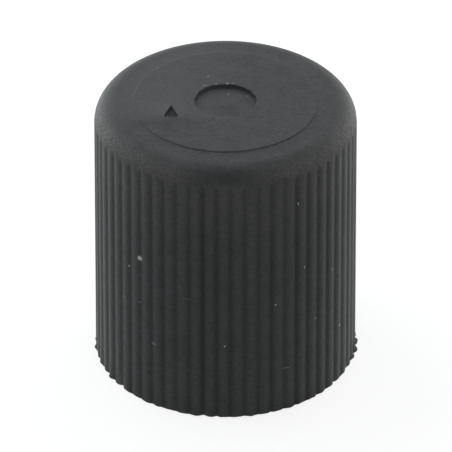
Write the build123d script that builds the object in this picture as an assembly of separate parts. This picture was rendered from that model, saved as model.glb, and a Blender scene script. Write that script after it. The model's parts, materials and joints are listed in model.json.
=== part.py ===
"""Screw-on cap for a tyre valve: one plastic moulding with a ribbed grip, a blind threaded bore and a lip.

Sizes are in millimetres and angles in degrees. +Z runs along the cap's axis to its closed end, and the
open rim lies on z = 0 with its centre at the origin.
"""

import math
import os

from build123d import *

# Thread of the valve stem that the cap screws onto
thread_major_diameter = 7.8
thread_depth = 0.4

# Mouth and wall
lead_in_clearance = 0.15  # between the stem's thread and the plain mouth, on the radius
lead_in_depth = 0.9
rim_wall = 1.05  # from the mouth to the rib crests, at the rim
overall_height = 11.2  # from the rim to the raised disc's face
wall_draft = 0.5  # lets the moulding leave its cavity
shoulder_radius = 0.85  # rounding between the wall and the top

# Grip ribs
rib_count = 60
rib_height = 0.06  # from valley to crest
rib_top_width = 0.23
rib_flank_angle = 50  # of each flank, from the rib's middle plane
crest_clearance = 0.002  # keeps the crests inside the plain body, so that the two share no face

# Closed end
disc_margin = 0.63  # flat ring between the shoulder and the raised disc
disc_step = 0.04  # how far the disc stands above that ring
gate_recess_diameter = 2.4  # keeps the stub of the moulding gate below the top
gate_recess_depth = 0.2
roof_thickness = 1.5
roof_chamfer = 0.5  # in the corner between the bore's wall and the roof

# Sealing lip, which presses on the end of the stem
lip_inset = 0.6  # from the bore's wall to the middle of the lip
lip_height = 0.5
lip_root_width = 0.6
lip_tip_width = 0.25

bore_radius = thread_major_diameter / 2 - thread_depth
lead_in_radius = thread_major_diameter / 2 + lead_in_clearance
rim_radius = lead_in_radius + rim_wall
shoulder_height = overall_height - disc_step
roof_height = overall_height - roof_thickness


def wall_radius(height):
    """Radius of the drafted wall over the rib crests at a height."""
    return rim_radius - height * math.tan(math.radians(wall_draft))


def turned(*outline):
    """Solid turned about the axis from curves that close an outline, drawn as (radius, height)."""
    return revolve(Plane.XZ * make_face(outline), Axis.Z)


def plain_body():
    """The cap without ribs and bore: drafted wall, round shoulder, raised disc and gate recess."""
    arc_height = shoulder_height - shoulder_radius
    arc_centre = (wall_radius(arc_height) - shoulder_radius / math.cos(math.radians(wall_draft)), arc_height)
    shoulder = CenterArc(arc_centre, shoulder_radius, wall_draft, 90 - wall_draft)
    body = turned(
        Polyline((0, shoulder_height), (0, 0), (rim_radius, 0), shoulder @ 0),
        shoulder,
        Line(shoulder @ 1, (0, shoulder_height)),
    )
    hanging = (Align.CENTER, Align.CENTER, Align.MAX)
    top_centre = Pos(0, 0, overall_height)
    disc_radius = arc_centre[0] - disc_margin
    body += top_centre * Cylinder(disc_radius, roof_thickness, align=hanging)
    return body - top_centre * Cylinder(gate_recess_diameter / 2, gate_recess_depth, align=hanging)


def ribbed_column():
    """Core cone with flat-topped ribs that lean in with the draft, longer than the cap at both ends."""
    low = -shoulder_radius
    high = overall_height + shoulder_radius
    core = turned(
        Polyline(
            (0, low),
            (wall_radius(low) - rib_height, low),
            (wall_radius(high) - rib_height, high),
            (0, high),
            close=True,
        )
    )
    crest = wall_radius(low) - crest_clearance
    depth = 1.5 * rib_height  # roots each rib in the core
    half_top = rib_top_width / 2
    half_root = half_top + depth * math.tan(math.radians(rib_flank_angle))
    section = make_face(
        Polyline(
            (crest, -half_top),
            (crest, half_top),
            (crest - depth, half_root),
            (crest - depth, -half_root),
            close=True,
        )
    )
    lean = Vector(0, 0, 1).rotate(Axis.Y, -wall_draft)
    rib = extrude(Pos(0, 0, low) * section, amount=(high - low) / math.cos(math.radians(wall_draft)), dir=lean)
    return core.fuse(*[Rot(0, 0, 360 / rib_count * number) * rib for number in range(rib_count)])


def bore():
    """Space for the stem: plain mouth, cone, wall at the crests of the inside thread, and roof."""
    return turned(
        Polyline(
            (0, 0),
            (lead_in_radius, 0),
            (lead_in_radius, lead_in_depth),
            (bore_radius, lead_in_depth + lead_in_radius - bore_radius),
            (bore_radius, roof_height - roof_chamfer),
            (bore_radius - roof_chamfer, roof_height),
            (0, roof_height),
            close=True,
        )
    )


def sealing_lip():
    """Tapered ring that hangs from the roof, rooted halfway through it."""
    middle = bore_radius - lip_inset
    root = roof_height + roof_thickness / 2
    tip = roof_height - lip_height
    return turned(
        Polyline(
            (middle - lip_root_width / 2, root),
            (middle - lip_root_width / 2, roof_height),
            (middle - lip_tip_width / 2, tip),
            (middle + lip_tip_width / 2, tip),
            (middle + lip_root_width / 2, roof_height),
            (middle + lip_root_width / 2, root),
            close=True,
        )
    )


valve_cap = (plain_body() & ribbed_column()) - bore() + sealing_lip()

os.makedirs("parts", exist_ok=True)
export_step(valve_cap, "parts/valve_cap.step")
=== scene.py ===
import json
import math
import random

import bmesh
import bpy
import numpy as np
from mathutils import Matrix, Vector
from mathutils.geometry import delaunay_2d_cdt


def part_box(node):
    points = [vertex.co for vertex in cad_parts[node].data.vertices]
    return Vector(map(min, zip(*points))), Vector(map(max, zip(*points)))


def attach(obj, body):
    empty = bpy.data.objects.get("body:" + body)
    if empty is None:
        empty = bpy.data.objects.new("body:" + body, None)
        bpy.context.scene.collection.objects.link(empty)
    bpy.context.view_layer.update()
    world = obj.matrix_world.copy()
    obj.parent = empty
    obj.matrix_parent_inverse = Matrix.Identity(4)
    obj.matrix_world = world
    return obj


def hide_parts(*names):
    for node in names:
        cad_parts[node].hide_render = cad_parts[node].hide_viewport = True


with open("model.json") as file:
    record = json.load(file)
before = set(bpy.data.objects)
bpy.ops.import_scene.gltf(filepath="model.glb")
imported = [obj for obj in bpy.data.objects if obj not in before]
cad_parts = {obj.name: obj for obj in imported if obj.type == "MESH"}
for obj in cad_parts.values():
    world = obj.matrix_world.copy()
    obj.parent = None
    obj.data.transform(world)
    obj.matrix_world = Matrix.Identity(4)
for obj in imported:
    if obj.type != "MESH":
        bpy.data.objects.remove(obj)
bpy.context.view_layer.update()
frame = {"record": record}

# Lengths are in metres and angles in radians, except where a comment gives another unit
MM = 0.001  # one millimetre
FULL_TURN = 2 * math.pi
mounts = {mount["name"]: mount for mount in frame["record"]["mounts"]}
low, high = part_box("valve_cap")

# Outside of the cap
RIM_RADIUS = (high.x - low.x) / 2
HEIGHT = high.z
WALL_DRAFT = math.radians(0.5)
SHOULDER_RADIUS = 0.85 * MM
DISC_MARGIN = 0.63 * MM  # flat ring between the shoulder and the raised disc
DISC_STEP = 0.04 * MM
EDGE_ROUNDING = 0.02 * MM
SHARP_ANGLE = math.radians(55)  # edges that turn more than this are shaded sharp

# Grip ribs
RIB_COUNT = 60
RIB_HEIGHT = 0.048 * MM
RIB_TOP_WIDTH = 0.23 * MM
RIB_FLANK_ANGLE = math.radians(60)  # from the rib's middle plane
RIB_ROUNDING = 0.065 * MM
RIB_SHADE = (0.36, 0.7)  # least and most share of the full painted shade that lies in a rib valley
RUN_OUT_SLOPE = 36  # degrees up the shoulder's rounding, by which the ribs have run out
RUN_OUT_ROUNDING = 0.01 * MM

# Gate recess in the top, with the gate's stub on its floor
RECESS_RADIUS = 1.18 * MM
RECESS_DEPTH = 0.145 * MM
RECESS_RAGGED = 0.018 * MM
RECESS_BUMPS = 45
# Painted shade on the recess's wall
RECESS_SHADE = 0.45
STUB_HEIGHT = 0.02 * MM
STUB_RINGS = ((0.26 * MM, 0.0), (0.22 * MM, 0.6), (0.12 * MM, 1.0))  # radius and share of the height

# Inside of the cap
BORE_RADIUS = mounts["stem_thread"]["dims"]["r_mm"] * MM
THREAD_DEPTH = 0.4 * MM
THREAD_PITCH = 0.794 * MM
THREAD_START = 1.5 * MM
THREAD_END = 8.5 * MM
THREAD_FADE = 0.5 * MM
GROOVE_HALF_WIDTH = 0.37  # of the thread's groove where it opens into the bore, in pitches
GROOVE_FLANK = 0.29  # width of each of its flanks, in pitches
LEAD_IN_CLEARANCE = 0.15 * MM  # around the stem's thread
LEAD_IN_RADIUS = BORE_RADIUS + THREAD_DEPTH + LEAD_IN_CLEARANCE
LEAD_IN_DEPTH = 0.9 * MM
ROOF_THICKNESS = 1.5 * MM
ROOF_HEIGHT = HEIGHT - ROOF_THICKNESS
ROOF_CHAMFER = 0.5 * MM
LIP_INSET = 0.6 * MM  # from the bore's wall to the middle of the lip
LIP_MIDDLE = BORE_RADIUS - LIP_INSET
LIP_HEIGHT = 0.5 * MM
LIP_ROOT_WIDTH = 0.6 * MM
LIP_TIP_WIDTH = 0.25 * MM

# Mould flash on the open rim: how far it stands out, by angle in degrees from the front, right positive
FLASH_HEIGHT = 0.14 * MM
FLASH_TYPICAL = 0.035 * MM
FLASH_RAGGED = 0.022 * MM
FLASH_BUMPS = 4 * RIB_COUNT
FLASH_LOBES = {
    78: 0.06 * MM,
    84: 0.11 * MM,
    90: 0.12 * MM,
    96: 0.07 * MM,
    -60: 0.06 * MM,
    -84: 0.06 * MM,
}
RIM_NICKS = {
    -79: 0.06 * MM,
    -68: 0.04 * MM,
    -63: 0.07 * MM,
    -58: 0.06 * MM,
    -52: 0.1 * MM,
    -9: 0.06 * MM,
    -3: 0.04 * MM,
    57: 0.05 * MM,
    68: 0.04 * MM,
}
NICK_WIDTH = math.radians(1.2)
RIM_ROUNDING = 0.06 * MM

# Pale worn band and painted highlight on the shoulder, fullest at the sides and absent at the front, with
# painted light that fades down the wall
WORN_HIGHLIGHT_SLOPE = math.radians(32)  # the middle of the band, as an angle up the shoulder's rounding
WORN_HIGHLIGHT_WIDTH = math.radians(27)
WORN_HIGHLIGHT_GAP = math.radians(18)
WORN_HIGHLIGHT_SIDE = math.radians(95)  # from the front, where the wear and painted highlight are full
WORN_HIGHLIGHT_SIDE_WIDTH = math.radians(30)
WORN_HIGHLIGHT_LEAST = 0.22  # share of the full wear and painted highlight away from the sides
WORN_HIGHLIGHT_SHARE = 0.8
# Painted light on the wall, brightest where it meets the shoulder and fading down
WALL_PAINTED_LIGHT = 0.11
WALL_LIGHT_DROP = 1.8 * MM
WALL_LIGHT_RISE = 0.35 * MM

# Faint painted shade on the front of the shoulder
FRONT_SHADE_LEVEL = 0.3
FRONT_SHADE_SLOPE = math.radians(42)
FRONT_SHADE_WIDTH = math.radians(20)
FRONT_SHADE_SPAN = math.radians(24)

# Painted light that pales the left of the top: where it starts and where it is full, along each axis
TOP_LIGHT_SHARE = 0.34
TOP_LIGHT_LIMITS = {
    "X": (1.4 * MM, -2.2 * MM),
    "Y": (-1.6 * MM, -0.9 * MM),
    "Z": (HEIGHT - 0.25 * MM, HEIGHT - 0.1 * MM),
}

# Plain sunk triangle on the top, a mould cavity mark
MARK_CENTRE = (-2.05 * MM, -0.88 * MM)
MARK_WIDTH = 0.6 * MM
MARK_HEIGHT = 0.85 * MM
MARK_DEPTH = 0.09 * MM
# Painted shade in the mark's sunk pocket
MARK_SHADE = 0.9
MARK_CORNER = 0.1  # share of a side that is cut off at each corner
MARK_UNEVEN = 0.25  # how much its edge and floor vary, as a share of their rise or depth

# Dust and scratches on the wall: angle in degrees from the front, height, half width and half height
WALL_DUST = (
    (-39.5, 6.56 * MM, 0.11 * MM, 0.1 * MM),
    (-46.0, 5.95 * MM, 0.03 * MM, 0.04 * MM),
    (34.0, 9.28 * MM, 0.02 * MM, 0.07 * MM),
    (37.5, 6.3 * MM, 0.02 * MM, 0.06 * MM),
    (23.0, 5.0 * MM, 0.035 * MM, 0.03 * MM),
    (44.0, 3.68 * MM, 0.03 * MM, 0.03 * MM),
    (61.0, 2.56 * MM, 0.05 * MM, 0.06 * MM),
    (55.0, 5.45 * MM, 0.02 * MM, 0.08 * MM),
    (0.5, 3.35 * MM, 0.03 * MM, 0.03 * MM),
)
WALL_SCRATCHES = (
    (-15.9, 5.37 * MM, 0.15 * MM, 0.015 * MM),
    (-40.0, 4.53 * MM, 0.11 * MM, 0.02 * MM),
    (-49.9, 4.34 * MM, 0.09 * MM, 0.03 * MM),
    (28.2, 1.94 * MM, 0.2 * MM, 0.02 * MM),
    (-32.0, 2.89 * MM, 0.12 * MM, 0.08 * MM),
)
WALL_NICKS = (
    (14.6, 1.3 * MM, 0.05 * MM, 0.05 * MM),
    (-34.6, 1.45 * MM, 0.04 * MM, 0.1 * MM),
)
WALL_SPOT_DEPTH = 0.12 * MM  # half of how far a spot reaches in and out of the wall
# Dust and a dark nick on the top: place and half size
TOP_DUST = (
    (-0.84 * MM, 1.09 * MM, 0.035 * MM),
    (-0.74 * MM, 1.1 * MM, 0.025 * MM),
    (-0.38 * MM, 1.19 * MM, 0.035 * MM),
    (0.06 * MM, 1.23 * MM, 0.045 * MM),
    (0.27 * MM, 1.25 * MM, 0.03 * MM),
    (-0.69 * MM, 1.73 * MM, 0.03 * MM),
    (-2.63 * MM, 2.4 * MM, 0.035 * MM),
    (0.1 * MM, 0.7 * MM, 0.035 * MM),
    (0.82 * MM, 0.58 * MM, 0.025 * MM),
)
TOP_NICKS = ((-0.45 * MM, -1.24 * MM, 0.06 * MM),)
TOP_SPOT_DEPTH = 0.05 * MM
# Distance from a spot's middle, in half sizes and with noise added, where it ends and where it is full
SPOT_EDGE = (1.7, 1.2)

# Colours of the plastic, of what lies on it and of painted light and shade, linear with alpha
DARK_TONE = (0.032, 0.0352, 0.0342, 1)
LIGHT_TONE = (0.0577, 0.0588, 0.062, 1)
TONE_LIMITS = (0.38, 0.62)  # noise that gives the dark and the light tone
# Painted shade for the rib valleys, the front of the shoulder, the recess's wall and the mark
SHADE_COLOUR = (0.018, 0.019, 0.019, 1)
# Pale wear with a painted highlight on the shoulder, and painted light on the wall
WORN_HIGHLIGHT_COLOUR = (0.345, 0.335, 0.324, 1)
# Painted light on the left of the top
TOP_LIGHT_COLOUR = (0.112, 0.118, 0.123, 1)
SCRATCH_COLOUR = (0.19, 0.2, 0.22, 1)
NICK_COLOUR = (0.008, 0.008, 0.008, 1)
TOP_DUST_COLOUR = (0.4, 0.4, 0.39, 1)
WALL_DUST_COLOUR = (0.8, 0.78, 0.74, 1)
WHITE = (1, 1, 1, 1)

# Surface of the plastic, with noise scales per millimetre
GRAIN_NOISE = {"Scale": 11.0, "Detail": 3.0}
BLOTCH_NOISE = {"Scale": 1.6, "Detail": 5.0}
FLECK_NOISE = {"Scale": 6.0, "Detail": 3.0}
SPOT_NOISE = {"Scale": 25.0, "Detail": 2.0}
GRAIN_HEIGHT = 0.018 * MM
SPECKLE_LIMITS = (0.35, 0.65)  # grain noise where the wear and painted light are weakest and strongest
SPECKLE_SHARES = (0.55 * WORN_HIGHLIGHT_SHARE, 1.45 * WORN_HIGHLIGHT_SHARE)
SHINE = (0.28, 0.04)  # on clean plastic and under full painted shade
ROUGHNESS = (0.44, 0.6)
SHEEN = 0.07
SHEEN_ROUGHNESS = 0.45
SEED = 11  # of all random draws

# Mesh density
# Points over one rib, as shares of the pitch from its crest to the next, close together on the flanks
RIB_SHARES = (0, 0.12, 0.2, 0.24, 0.28, 0.32, 0.36, 0.42, 0.5, 0.58, 0.64, 0.68, 0.72, 0.76, 0.8, 0.88)
INSIDE_POINTS = RIB_COUNT * len(RIB_SHARES) // 4  # a quarter of the outside's
WALL_ROWS = 14
RUN_OUT_ROWS = 17
SHOULDER_ROWS = 9  # above the run-out
ROWS_PER_THREAD = 12
MARK_STEPS = 8  # points along each side of the mark

# Camera, from the photograph's fitted view
CAMERA_ELEVATION = math.radians(34.03)
CAMERA_AZIMUTH = math.radians(0.85)  # from the front, right positive
CAMERA_DISTANCE = 182.3 * MM
CAMERA_TARGET_HEIGHT = 5.435 * MM
CAMERA_OFFSET = 0.019 * MM
CAMERA_LENS = 375.2  # millimetres, on the sensor below
CAMERA_SENSOR = 36.0

# Light and floor
LAMP_COLOUR = (0.88, 0.95, 1.0)
BACK_LAMP_COLOUR = (0.62, 0.83, 1.0)
SOFTBOXES = {  # place, size, radiance and colour
    "left_softbox": ((-46 * MM, 26 * MM, 55 * MM), 75 * MM, 0.82, LAMP_COLOUR),
    "right_softbox": ((38 * MM, 40 * MM, 60 * MM), 75 * MM, 0.54, LAMP_COLOUR),
    "back_softbox": ((-50 * MM, 100 * MM, 35 * MM), 90 * MM, 0.2, BACK_LAMP_COLOUR),
}
WORLD_LEVEL = 0.29  # of the surroundings, as light on matt surfaces
FLOOR_HALF_SIZE = 1.0
FLOOR_LEVEL = -0.01 * MM  # just clear of the rim
FLOOR_COLOUR = (0.5, 0.5, 0.5, 1)
FLOOR_GLOW = 0.8  # lifts the floor to white in the picture

shoulder_height = HEIGHT - DISC_STEP
arc_height = shoulder_height - SHOULDER_RADIUS  # of the middle of the shoulder's rounding
arc_radius = RIM_RADIUS - arc_height * math.tan(WALL_DRAFT) - SHOULDER_RADIUS / math.cos(WALL_DRAFT)
recess_edge_radius = RECESS_RADIUS + 4 * EDGE_ROUNDING
draw = random.Random(SEED)


def wall_radius(height):
    """Radius over the rib crests at a height."""
    return RIM_RADIUS - height * math.tan(WALL_DRAFT)


def circle_angles(count):
    """Evenly spaced angles from the front, growing to the right."""
    return np.arange(count) * FULL_TURN / count


def ring_points(radius, angle, height):
    """Points at radii, angles from the front and heights, any of which may be single numbers."""
    radius, angle, height = np.broadcast_arrays(radius, angle, height)
    return np.stack([radius * np.sin(angle), -radius * np.cos(angle), height], axis=1)


def soft_min(one, other, rounding):
    """The smaller of two values, rounded over where they are within the rounding of each other."""
    near = np.maximum(rounding - np.abs(one - other), 0) / rounding
    return np.minimum(one, other) - near**2 * rounding / 4


class Surface:
    """A mesh that grows ring by ring."""

    def __init__(self):
        self.points = []
        self.faces = []

    def ring(self, points):
        """Adds points and returns their numbers."""
        first = len(self.points)
        self.points.extend(tuple(float(value) for value in point) for point in points)
        return list(range(first, len(self.points)))

    def strip(self, one, other):
        """Joins two rings with the same number of points."""
        count = len(one)
        for k in range(count):
            after = (k + 1) % count
            self.faces.append((one[k], one[after], other[after], other[k]))

    def narrowing(self, fine, coarse):
        """Joins a ring to one with a fraction of its points."""
        ratio = len(fine) // len(coarse)
        for k in range(len(coarse)):
            after = (k + 1) % len(coarse)
            fan = [fine[(k * ratio + step) % len(fine)] for step in range(ratio + 1)]
            half = ratio // 2
            for step in range(ratio):
                tip = coarse[k] if step < half else coarse[after]
                self.faces.append((fan[step], fan[step + 1], tip))
            self.faces.append((coarse[k], fan[half], coarse[after]))

    def cap(self, ring, centre):
        """Closes a ring with a fan to one point."""
        tip = self.ring([centre])[0]
        for k in range(len(ring)):
            self.faces.append((ring[k], ring[(k + 1) % len(ring)], tip))

    def rows(self, rows):
        """Adds rings and joins each to the one before it. Returns the first and last."""
        rings = [self.ring(points) for points in rows]
        for one, other in zip(rings, rings[1:]):
            self.strip(one, other)
        return rings[0], rings[-1]


def rib_angles():
    """Angles of the outside points, the same over each rib."""
    shares = [number + np.array(RIB_SHARES) for number in range(RIB_COUNT)]
    return np.concatenate(shares) * FULL_TURN / RIB_COUNT


def rib_dip(angle):
    """Depth of the ribbed wall below the crests at each angle, with flat tops and soft edges."""
    pitch = FULL_TURN / RIB_COUNT
    across = np.abs((angle / pitch + 0.5) % 1 - 0.5) * pitch * RIM_RADIUS
    flank = (across - RIB_TOP_WIDTH / 2) / math.tan(RIB_FLANK_ANGLE)
    return soft_min(-soft_min(-flank, 0, RIB_ROUNDING), RIB_HEIGHT, RIB_ROUNDING)


def rim_flash(angle):
    """How far the flash stands out of the rim at each angle: a lobe on each rib, less the nicks."""
    pitch = FULL_TURN / RIB_COUNT
    sizes = [draw.uniform(0, FLASH_TYPICAL) for _ in range(RIB_COUNT)]
    for degrees, size in FLASH_LOBES.items():
        sizes[round(math.radians(degrees) / pitch) % RIB_COUNT] = size
    rib = np.round(angle / pitch).astype(int) % RIB_COUNT
    across = (angle / pitch + 0.5) % 1 - 0.5
    flash = np.array(sizes)[rib] * np.sqrt(np.maximum(1 - (2 * across) ** 2, 0))
    ragged = [draw.uniform(-FLASH_RAGGED, FLASH_RAGGED) for _ in range(FLASH_BUMPS)]
    flash = flash + np.interp(angle, circle_angles(FLASH_BUMPS), ragged, period=FULL_TURN)
    for degrees, depth in RIM_NICKS.items():
        away = (angle - math.radians(degrees) + math.pi) % FULL_TURN - math.pi
        flash = flash - depth * bell(away, 0, NICK_WIDTH)
    return flash


def rim_rows(angle, dip):
    """Rings from the rim's underside up over the flash."""
    flash = rim_flash(angle)
    # Shares of the flash, the rounding, the flash's height and the rib valleys, from the underside up
    profile = (
        (0.7, 1.0, 0.0, 0.55),
        (0.9, 0.5, 0.08, 0.6),
        (1.0, 0.15, 0.25, 0.7),
        (0.8, 0.0, 0.5, 0.85),
        (0.3, 0.0, 0.75, 0.95),
        (0.0, 0.0, 1.0, 1.0),
    )
    rows = []
    for share, rounding, level, valley in profile:
        height = level * FLASH_HEIGHT
        out = share * flash - rounding * RIM_ROUNDING - valley * dip
        rows.append(ring_points(wall_radius(height) + out, angle, height))
    return rows


def wall_rows(angle, dip):
    """Rings up the ribbed wall and over the shoulder, where the ribs run out."""
    rows = []
    wall_top = arc_height + SHOULDER_RADIUS * math.sin(WALL_DRAFT)
    for height in np.linspace(FLASH_HEIGHT, wall_top, WALL_ROWS + 1)[1:]:
        rows.append(ring_points(wall_radius(height) - dip, angle, height))
    run_out = np.linspace(math.degrees(WALL_DRAFT), RUN_OUT_SLOPE, RUN_OUT_ROWS + 1)[1:]
    upper = np.linspace(RUN_OUT_SLOPE, 90, SHOULDER_ROWS + 1)[1:]
    for slope in np.radians(np.concatenate([run_out, upper])):
        height = arc_height + SHOULDER_RADIUS * math.sin(slope)
        plain = arc_radius + SHOULDER_RADIUS * math.cos(slope)
        ribbed = wall_radius(height) - dip
        rows.append(ring_points(soft_min(plain, ribbed, RUN_OUT_ROUNDING), angle, height))
    return rows


def disc_rows(angle):
    """Rings over the step of the raised disc to its face."""
    rows = []
    disc_radius = arc_radius - DISC_MARGIN
    # Distance outside the disc's edge, in edge roundings, and share of the disc's step
    step = ((1.5, 0.0), (0.5, 0.12), (0.0, 0.5), (-0.5, 0.88), (-1.5, 1.0), (-4.0, 1.0))
    for out, level in step:
        height = shoulder_height + level * DISC_STEP
        rows.append(ring_points(disc_radius + out * EDGE_ROUNDING, angle, height))
    return rows


def outside_rows(angle):
    """Rings from the rim's underside up the wall and over the shoulder to the raised disc's face."""
    dip = rib_dip(angle)
    return rim_rows(angle, dip) + wall_rows(angle, dip) + disc_rows(angle)


def recess_rows(angle):
    """Rings from the disc's face over the recess's ragged edge and its floor to the gate's stub."""
    bumps = [draw.uniform(-RECESS_RAGGED, RECESS_RAGGED) for _ in range(RECESS_BUMPS)]
    ragged = np.interp(angle, circle_angles(RECESS_BUMPS), bumps, period=FULL_TURN)
    # Radius, depth and share of the ragged edge
    profile = [
        (recess_edge_radius, 0.0, 0.0),
        (RECESS_RADIUS + EDGE_ROUNDING, 0.0, 0.6),
        (RECESS_RADIUS + 0.3 * EDGE_ROUNDING, 0.3 * EDGE_ROUNDING, 1.0),
        (RECESS_RADIUS, EDGE_ROUNDING, 1.0),
        (RECESS_RADIUS - 0.5 * EDGE_ROUNDING, RECESS_DEPTH - EDGE_ROUNDING, 0.3),
        (RECESS_RADIUS - 1.5 * EDGE_ROUNDING, RECESS_DEPTH, 0.0),
        (RECESS_RADIUS - 3.5 * EDGE_ROUNDING, RECESS_DEPTH, 0.0),
        (0.8 * RECESS_RADIUS, RECESS_DEPTH, 0.0),
    ]
    profile.extend((radius, RECESS_DEPTH - level * STUB_HEIGHT, 0.0) for radius, level in STUB_RINGS)
    rows = []
    for radius, depth, share in profile:
        rows.append(ring_points(radius + share * ragged, angle, HEIGHT - depth))
    return rows


def thread_groove(angle, height):
    """Depth of the right-hand thread's groove at each angle on a height."""
    turn = (height / THREAD_PITCH - angle / FULL_TURN) % 1
    groove = np.clip((GROOVE_HALF_WIDTH - np.abs(turn - 0.5)) / GROOVE_FLANK, 0, 1)
    start = np.clip((height - THREAD_START) / THREAD_FADE, 0, 1)
    end = np.clip((THREAD_END - height) / THREAD_FADE, 0, 1)
    return THREAD_DEPTH * groove * min(start, end)


def roof_rows(angle):
    """Rings from the bore's wall over the chamfer and the lip to the middle of the roof."""
    lip_tip = ROOF_HEIGHT - LIP_HEIGHT
    lip_slope = (LIP_ROOT_WIDTH - LIP_TIP_WIDTH) / 2 / LIP_HEIGHT
    # How far below the roof the lip's outer flank meets the chamfer
    corner_drop = (LIP_MIDDLE + LIP_ROOT_WIDTH / 2 - BORE_RADIUS + ROOF_CHAMFER) / (1 + lip_slope)
    profile = (
        (BORE_RADIUS, ROOF_HEIGHT - ROOF_CHAMFER),
        (BORE_RADIUS - ROOF_CHAMFER + corner_drop, ROOF_HEIGHT - corner_drop),
        (LIP_MIDDLE + LIP_TIP_WIDTH / 2 + EDGE_ROUNDING / 2, lip_tip + 2 * EDGE_ROUNDING),
        (LIP_MIDDLE + LIP_TIP_WIDTH / 2 - EDGE_ROUNDING, lip_tip + 0.5 * EDGE_ROUNDING),
        (LIP_MIDDLE + LIP_TIP_WIDTH / 4, lip_tip),
        (LIP_MIDDLE - LIP_TIP_WIDTH / 4, lip_tip),
        (LIP_MIDDLE - LIP_TIP_WIDTH / 2 + EDGE_ROUNDING, lip_tip + 0.5 * EDGE_ROUNDING),
        (LIP_MIDDLE - LIP_TIP_WIDTH / 2 - EDGE_ROUNDING / 2, lip_tip + 2 * EDGE_ROUNDING),
        (LIP_MIDDLE - LIP_ROOT_WIDTH / 2, ROOF_HEIGHT),
        (LIP_MIDDLE / 3, ROOF_HEIGHT),
    )
    return [ring_points(radius, angle, height) for radius, height in profile]


def inside_rows(angle):
    """Rings from the mouth up the lead-in, thread and lip to the roof."""
    cone_top = LEAD_IN_DEPTH + LEAD_IN_RADIUS - BORE_RADIUS
    thread_rows = round((THREAD_END - THREAD_START) / THREAD_PITCH * ROWS_PER_THREAD)
    rows = [
        ring_points(LEAD_IN_RADIUS + 2 * EDGE_ROUNDING, angle, 0.0),
        ring_points(LEAD_IN_RADIUS, angle, 2 * EDGE_ROUNDING),
        ring_points(LEAD_IN_RADIUS, angle, LEAD_IN_DEPTH),
        ring_points(BORE_RADIUS, angle, cone_top),
    ]
    for height in np.linspace(THREAD_START, THREAD_END, thread_rows):
        rows.append(ring_points(BORE_RADIUS + thread_groove(angle, height), angle, height))
    return rows + roof_rows(angle)


def mark_outline(margin):
    """Points of the mark's triangle, moved out by a margin, with its corners cut a little round."""
    half = MARK_WIDTH / 2
    base = -MARK_HEIGHT / 3
    corners = [Vector((0, base + MARK_HEIGHT)), Vector((-half, base)), Vector((half, base))]
    inner_radius = MARK_WIDTH * MARK_HEIGHT / (MARK_WIDTH + 2 * math.hypot(half, MARK_HEIGHT))
    centre = Vector((0, base + inner_radius))
    grown = [centre + (corner - centre) * (1 + margin / inner_radius) for corner in corners]
    points = []
    for start, stop in zip(grown, grown[1:] + grown[:1]):
        for share in np.linspace(MARK_CORNER, 1 - MARK_CORNER, MARK_STEPS):
            points.append(start.lerp(stop, share) + Vector(MARK_CENTRE))
    return points


def mark_rows():
    """Rings from the disc's face over the mark's raised edge to its sunk floor."""
    # Margin outside the triangle and rise above the disc's face, from that face to the sunk floor
    profile = (
        (0.06 * MM, 0.0),
        (0.03 * MM, 0.014 * MM),
        (0.0, 0.01 * MM),
        (-0.015 * MM, -0.04 * MM),
        (-0.04 * MM, -MARK_DEPTH),
    )
    rows = []
    for margin, rise in profile:
        uneven = MARK_UNEVEN * abs(rise)
        row = []
        for point in mark_outline(margin):
            row.append((point.x, point.y, HEIGHT + rise + draw.uniform(-uneven, uneven)))
        rows.append(row)
    return rows


def disc_face(surface, outer, recess, mark):
    """Fills the disc's flat face between its edge, the gate recess and the mark."""
    loops = [outer, recess, mark]
    numbers = [number for loop in loops for number in loop]
    flat = [Vector(surface.points[number][:2]) / MM for number in numbers]
    edges = []
    first = 0
    for loop in loops:
        edges.extend((first + k, first + (k + 1) % len(loop)) for k in range(len(loop)))
        first += len(loop)
    tolerance = 1e-6  # millimetres, as the flat points are
    places, _, triangles, sources, _, _ = delaunay_2d_cdt(flat, edges, [], 0, tolerance)
    mark_points = flat[len(outer) + len(recess):]
    for triangle in triangles:
        corners = [numbers[sources[corner][0]] for corner in triangle]
        middle = sum((places[corner] for corner in triangle), Vector((0, 0))) / 3
        if middle.length > recess_edge_radius / MM and not inside_loop(middle, mark_points):
            surface.faces.append(tuple(corners))


def inside_loop(point, loop):
    """True if a flat point lies in a convex loop that runs anticlockwise."""
    for start, stop in zip(loop, loop[1:] + loop[:1]):
        edge = stop - start
        away = point - start
        if edge.x * away.y - edge.y * away.x < 0:
            return False
    return True


def bell(value, middle, width):
    """One at the middle, falling smoothly to either side."""
    return np.exp(-(((value - middle) / width) ** 2))


def shoulder_place(points):
    """Angles of points up the shoulder's rounding, and round the cap from the front."""
    x, y, height = points.T
    out = np.maximum(np.hypot(x, y) - arc_radius, EDGE_ROUNDING)
    return np.arctan2(height - arc_height, out), np.arctan2(x, -y)


def valley_shade(points, from_front):
    """Painted shade in the rib valleys, with a share of its own in each."""
    x, y, height = points.T
    rise = np.clip((height - arc_height) / SHOULDER_RADIUS, 0, 1)
    plain = wall_radius(height) - SHOULDER_RADIUS * (1 - np.sqrt(1 - rise**2))
    shares = np.array([draw.uniform(*RIB_SHADE) for _ in range(RIB_COUNT)])
    valley = np.floor(from_front * RIB_COUNT / FULL_TURN).astype(int) % RIB_COUNT
    return shares[valley] * np.clip((plain - np.hypot(x, y)) / RIB_HEIGHT, 0, 1)


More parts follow.
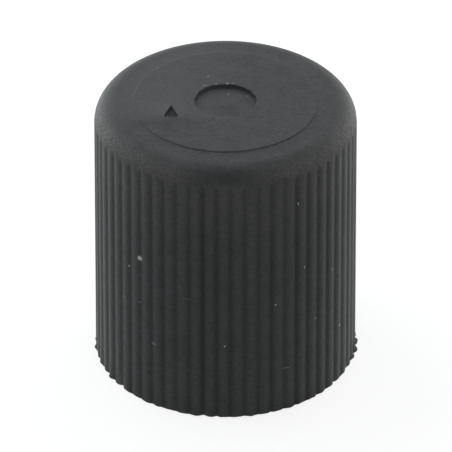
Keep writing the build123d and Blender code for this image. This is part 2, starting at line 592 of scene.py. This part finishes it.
def shade_shares(points):
    """Up to one where shade is painted: the rib valleys, the front of the shoulder, the recess's wall and
    the mark.
    """
    x, y, height = points.T
    radius = np.hypot(x, y)
    slope, from_front = shoulder_place(points)
    front_shade = bell(slope, FRONT_SHADE_SLOPE, FRONT_SHADE_WIDTH) * bell(from_front, 0, FRONT_SHADE_SPAN)
    painted_shade = np.maximum(valley_shade(points, from_front), FRONT_SHADE_LEVEL * front_shade)
    painted_shade[(radius < LEAD_IN_RADIUS + RIM_ROUNDING) | (height >= shoulder_height)] = 0
    on_recess_wall = np.abs(radius - RECESS_RADIUS) < 2 * EDGE_ROUNDING
    below_face = (height > ROOF_HEIGHT) & (height < HEIGHT - EDGE_ROUNDING / 2)
    painted_shade[on_recess_wall & below_face] = RECESS_SHADE
    by_mark = (np.abs(x - MARK_CENTRE[0]) < MARK_WIDTH) & (np.abs(y - MARK_CENTRE[1]) < MARK_HEIGHT)
    painted_shade[by_mark & below_face] = MARK_SHADE
    return painted_shade


def wear_and_light_shares(points):
    """Up to one on the shoulder, where handling has paled it and a highlight is painted, and less on the
    wall below it, as painted light.
    """
    x, y, height = points.T
    radius = np.hypot(x, y)
    slope, from_front = shoulder_place(points)
    side = bell(np.abs(from_front), WORN_HIGHLIGHT_SIDE, WORN_HIGHLIGHT_SIDE_WIDTH)
    around = (WORN_HIGHLIGHT_LEAST + (1 - WORN_HIGHLIGHT_LEAST) * side) * (1 - bell(from_front, 0, WORN_HIGHLIGHT_GAP))
    band = bell(slope, WORN_HIGHLIGHT_SLOPE, WORN_HIGHLIGHT_WIDTH) * around
    above = height - arc_height
    reach = np.where(above < 0, WALL_LIGHT_DROP, WALL_LIGHT_RISE)
    wear_and_painted_light = np.maximum(band, WALL_PAINTED_LIGHT * bell(above, 0, reach))
    wear_and_painted_light[(radius < arc_radius) | (height >= shoulder_height)] = 0
    return wear_and_painted_light


def add_point_values(mesh, name, values):
    """Keeps a value for each point of a mesh, for its material to read."""
    mesh.attributes.new(name, "FLOAT", "POINT").data.foreach_set("value", values)


def cap_surface():
    """The whole cap as one closed surface."""
    surface = Surface()
    outside_angle = rib_angles()
    inside_angle = circle_angles(INSIDE_POINTS)
    rim, disc_edge = surface.rows(outside_rows(outside_angle))
    mouth, roof = surface.rows(inside_rows(inside_angle))
    surface.narrowing(rim, mouth)
    surface.cap(roof, (0, 0, ROOF_HEIGHT))
    recess_edge, stub = surface.rows(recess_rows(inside_angle))
    surface.cap(stub, (0, 0, HEIGHT - RECESS_DEPTH + STUB_HEIGHT))
    mark_edge, mark_floor = surface.rows(mark_rows())
    floor_points = [surface.points[number] for number in mark_floor]
    surface.cap(mark_floor, np.mean(floor_points, axis=0))
    disc_face(surface, disc_edge, recess_edge, mark_edge)
    return surface


def build_cap():
    """The cap's mesh, with its painted shade and its wear and painted light kept on its points."""
    surface = cap_surface()
    mesh = bpy.data.meshes.new("valve_cap_moulding")
    mesh.from_pydata(surface.points, [], surface.faces)
    body = bmesh.new()
    body.from_mesh(mesh)
    bmesh.ops.recalc_face_normals(body, faces=body.faces)
    body.to_mesh(mesh)
    body.free()
    points = np.array(surface.points)
    add_point_values(mesh, "painted_shade", shade_shares(points))
    add_point_values(mesh, "wear_and_painted_light", wear_and_light_shares(points))
    mesh.shade_smooth()
    mesh.set_sharp_from_angle(angle=SHARP_ANGLE)
    cap = bpy.data.objects.new("valve_cap_moulding", mesh)
    bpy.context.scene.collection.objects.link(cap)
    return cap


def add_node(tree, kind, **inputs):
    """Adds a shader node and sets or links its inputs: names with underscores for spaces, or i0 and i1."""
    made = tree.nodes.new(kind)
    for name, value in inputs.items():
        numbered = name[0] == "i" and name[1:].isdigit()
        key = int(name[1:]) if numbered else name.replace("_", " ")
        socket = made.inputs[key]
        if isinstance(value, bpy.types.NodeSocket):
            tree.links.new(value, socket)
        else:
            socket.default_value = value
    return made


def combine(tree, operation, one, other):
    """Outcome of an operation on two values."""
    made = add_node(tree, "ShaderNodeMath", i0=one, i1=other)
    made.operation = operation
    return made.outputs[0]


def map_range(tree, value, source, target=(0.0, 1.0), kind="LINEAR"):
    """Carries a value from a source range to a target range and holds it at the ends."""
    made = add_node(tree, "ShaderNodeMapRange", Value=value, From_Min=source[0], From_Max=source[1])
    made.interpolation_type = kind
    made.inputs["To Min"].default_value = target[0]
    made.inputs["To Max"].default_value = target[1]
    return made.outputs[0]


def noise(tree, position, settings):
    """Noise over the cap."""
    return add_node(tree, "ShaderNodeTexNoise", Vector=position, **settings).outputs["Fac"]


def point_value(tree, name):
    """A value that the mesh keeps for each point."""
    made = tree.nodes.new("ShaderNodeAttribute")
    made.attribute_name = name
    return made.outputs["Fac"]


def blend(tree, share, under, over):
    """Colour that goes from one to another by a share."""
    mix = tree.nodes.new("ShaderNodeMixRGB")
    tree.links.new(share, mix.inputs["Fac"])
    tree.links.new(under, mix.inputs["Color1"])
    mix.inputs["Color2"].default_value = over
    return mix.outputs["Color"]


def wall_spots(listed):
    """Spots on the wall, each a place, a turn and half sizes, from angles, heights and half sizes."""
    spots = []
    for degrees, height, half_width, half_height in listed:
        angle = math.radians(degrees)
        place = ring_points([wall_radius(height)], angle, height)[0]
        spots.append((place, angle, (half_width, WALL_SPOT_DEPTH, half_height)))
    return spots


def top_spots(listed):
    """Spots on the top and on the floor of the recess from places and half sizes."""
    spots = []
    for x, y, size in listed:
        level = HEIGHT if math.hypot(x, y) > RECESS_RADIUS else HEIGHT - RECESS_DEPTH
        spots.append(((x, y, level), 0.0, (size, size, TOP_SPOT_DEPTH)))
    return spots


def spot_mask(tree, position, spots):
    """One on the spots, falling to zero at their ragged edges."""
    ragged = noise(tree, position, SPOT_NOISE)
    mask = 0.0
    for place, turn, half_sizes in spots:
        local = add_node(tree, "ShaderNodeMapping", Vector=position, Rotation=(0, 0, turn))
        local.vector_type = "TEXTURE"
        local.inputs["Location"].default_value = Vector(place) / MM
        local.inputs["Scale"].default_value = Vector(half_sizes) / MM
        reach = add_node(tree, "ShaderNodeVectorMath", i0=local.outputs[0])
        reach.operation = "LENGTH"
        edge = combine(tree, "ADD", reach.outputs["Value"], ragged)
        mask = combine(tree, "MAXIMUM", mask, map_range(tree, edge, SPOT_EDGE))
    return mask


def plastic_tones(tree, position):
    """Dark grey with faint blotches and flecks."""
    blotch = noise(tree, position, BLOTCH_NOISE)
    fleck = noise(tree, position, FLECK_NOISE)
    average = combine(tree, "MULTIPLY", combine(tree, "ADD", blotch, fleck), 0.5)
    tones = add_node(tree, "ShaderNodeValToRGB", Fac=average)
    for element, limit, tone in zip(tones.color_ramp.elements, TONE_LIMITS, (DARK_TONE, LIGHT_TONE)):
        element.position = limit
        element.color = tone
    return tones.outputs["Color"]


def wear_and_light_share(tree, grain):
    """The share of the wear and painted light at each place, speckled by the grain."""
    speckle = map_range(tree, grain, SPECKLE_LIMITS, SPECKLE_SHARES)
    return combine(tree, "MULTIPLY", point_value(tree, "wear_and_painted_light"), speckle)


def top_light_share(tree, position):
    """The share of the painted light on the top at each place: the product of a soft edge along each axis.
    """
    axes = add_node(tree, "ShaderNodeSeparateXYZ", Vector=position)
    share = TOP_LIGHT_SHARE
    for axis, (clear, full) in TOP_LIGHT_LIMITS.items():
        edge = map_range(tree, axes.outputs[axis], (clear / MM, full / MM), kind="SMOOTHSTEP")
        share = combine(tree, "MULTIPLY", edge, share)
    return share


def add_spots(tree, position, colour):
    """Colour with the scratches, nicks and dust over it."""
    layers = (
        (wall_spots(WALL_SCRATCHES), SCRATCH_COLOUR),
        (wall_spots(WALL_NICKS) + top_spots(TOP_NICKS), NICK_COLOUR),
        (top_spots(TOP_DUST), TOP_DUST_COLOUR),
        (wall_spots(WALL_DUST), WALL_DUST_COLOUR),
    )
    for spots, over in layers:
        colour = blend(tree, spot_mask(tree, position, spots), colour, over)
    return colour


def plastic_material():
    """Dark grey moulded plastic with a fine matt grain, painted shade, a worn band with a painted
    highlight, painted light on the top, and dust.
    """
    material = bpy.data.materials.new("moulded_plastic")
    material.use_nodes = True
    tree = material.node_tree
    place = tree.nodes.new("ShaderNodeTexCoord").outputs["Object"]
    millimetres = add_node(tree, "ShaderNodeVectorMath", i0=place)
    millimetres.operation = "SCALE"
    millimetres.inputs["Scale"].default_value = 1 / MM
    position = millimetres.outputs["Vector"]

    grain = noise(tree, position, GRAIN_NOISE)
    # Painted shade, then wear with painted light, then painted light on the top, over the plastic's tones
    painted_shade = point_value(tree, "painted_shade")
    colour = blend(tree, painted_shade, plastic_tones(tree, position), SHADE_COLOUR)
    colour = blend(tree, wear_and_light_share(tree, grain), colour, WORN_HIGHLIGHT_COLOUR)
    colour = blend(tree, top_light_share(tree, position), colour, TOP_LIGHT_COLOUR)
    bump = add_node(tree, "ShaderNodeBump", Strength=1.0, Distance=GRAIN_HEIGHT, Height=grain)
    linked = {
        "Base Color": add_spots(tree, position, colour),
        "Specular IOR Level": map_range(tree, painted_shade, (0.0, 1.0), SHINE),
        "Roughness": map_range(tree, grain, (0.0, 1.0), ROUGHNESS),
        "Normal": bump.outputs["Normal"],
    }
    shader = tree.nodes["Principled BSDF"]
    for name, socket in linked.items():
        tree.links.new(socket, shader.inputs[name])
    shader.inputs["Sheen Weight"].default_value = SHEEN
    shader.inputs["Sheen Roughness"].default_value = SHEEN_ROUGHNESS
    return material


def seen_by_camera(tree):
    """One for camera, glossy and transmission rays, else zero."""
    rays = tree.nodes.new("ShaderNodeLightPath").outputs
    direct = combine(tree, "MAXIMUM", rays["Is Camera Ray"], rays["Is Glossy Ray"])
    return combine(tree, "MAXIMUM", direct, rays["Is Transmission Ray"])


def floor_material():
    """Matt grey that a glow lifts to white in the picture."""
    material = bpy.data.materials.new("floor_white")
    material.use_nodes = True
    tree = material.node_tree
    tree.nodes.remove(tree.nodes["Principled BSDF"])
    matt = add_node(tree, "ShaderNodeBsdfDiffuse", Color=FLOOR_COLOUR)
    lift = combine(tree, "MULTIPLY", seen_by_camera(tree), FLOOR_GLOW)
    glow = add_node(tree, "ShaderNodeEmission", Color=WHITE, Strength=lift)
    both = add_node(tree, "ShaderNodeAddShader", i0=matt.outputs[0], i1=glow.outputs[0])
    tree.links.new(both.outputs[0], tree.nodes["Material Output"].inputs["Surface"])
    return material


def build_floor():
    """Plain white floor that keeps the cap's shadow."""
    corners = ((-1, -1), (1, -1), (1, 1), (-1, 1))
    points = [(x * FLOOR_HALF_SIZE, y * FLOOR_HALF_SIZE, FLOOR_LEVEL) for x, y in corners]
    mesh = bpy.data.meshes.new("floor")
    mesh.from_pydata(points, [], [(0, 1, 2, 3)])
    mesh.materials.append(floor_material())
    floor = bpy.data.objects.new("floor", mesh)
    bpy.context.scene.collection.objects.link(floor)


def build_world():
    """White to the camera, and a plain dim surrounding for the light."""
    world = bpy.data.worlds.new("surroundings")
    world.use_nodes = True
    tree = world.node_tree
    background = tree.nodes["Background"]
    background.inputs["Color"].default_value = WHITE
    level = map_range(tree, seen_by_camera(tree), (0.0, 1.0), (WORLD_LEVEL, 1.0))
    tree.links.new(level, background.inputs["Strength"])
    bpy.context.scene.world = world


def add_softbox(name, place, size, level, colour):
    """Square soft lamp at a place, turned to the cap, with a radiance level."""
    lamp = bpy.data.lights.new(name, "AREA")
    lamp.size = size
    lamp.color = colour
    lamp.energy = level * math.pi * size**2
    softbox = bpy.data.objects.new(name, lamp)
    softbox.location = place
    towards = Vector((0, 0, HEIGHT / 2)) - Vector(place)
    softbox.rotation_euler = towards.to_track_quat("-Z", "Y").to_euler()
    bpy.context.scene.collection.objects.link(softbox)


def build_camera():
    """Camera at the photograph's angle, distance and framing."""
    turn = Matrix.Rotation(CAMERA_AZIMUTH, 3, "Z")
    forward = turn @ Vector((0, math.cos(CAMERA_ELEVATION), -math.sin(CAMERA_ELEVATION)))
    upward = turn @ Vector((0, math.sin(CAMERA_ELEVATION), math.cos(CAMERA_ELEVATION)))
    rightward = turn @ Vector((1, 0, 0))
    data = bpy.data.cameras.new("camera")
    data.lens = CAMERA_LENS
    data.sensor_width = CAMERA_SENSOR
    data.clip_start = CAMERA_DISTANCE / 100
    camera = bpy.data.objects.new("camera", data)
    target = Vector((0, 0, CAMERA_TARGET_HEIGHT)) + CAMERA_OFFSET * (rightward + upward)
    camera.location = target - CAMERA_DISTANCE * forward
    camera.rotation_euler = forward.to_track_quat("-Z", "Y").to_euler()
    bpy.context.scene.collection.objects.link(camera)
    bpy.context.scene.camera = camera


cap = build_cap()
cap.data.materials.append(plastic_material())
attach(cap, "root")
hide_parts("valve_cap")

build_floor()
build_world()
for name, (place, size, level, colour) in SOFTBOXES.items():
    add_softbox(name, place, size, level, colour)
build_camera()

bpy.context.scene.view_settings.view_transform = "Standard"
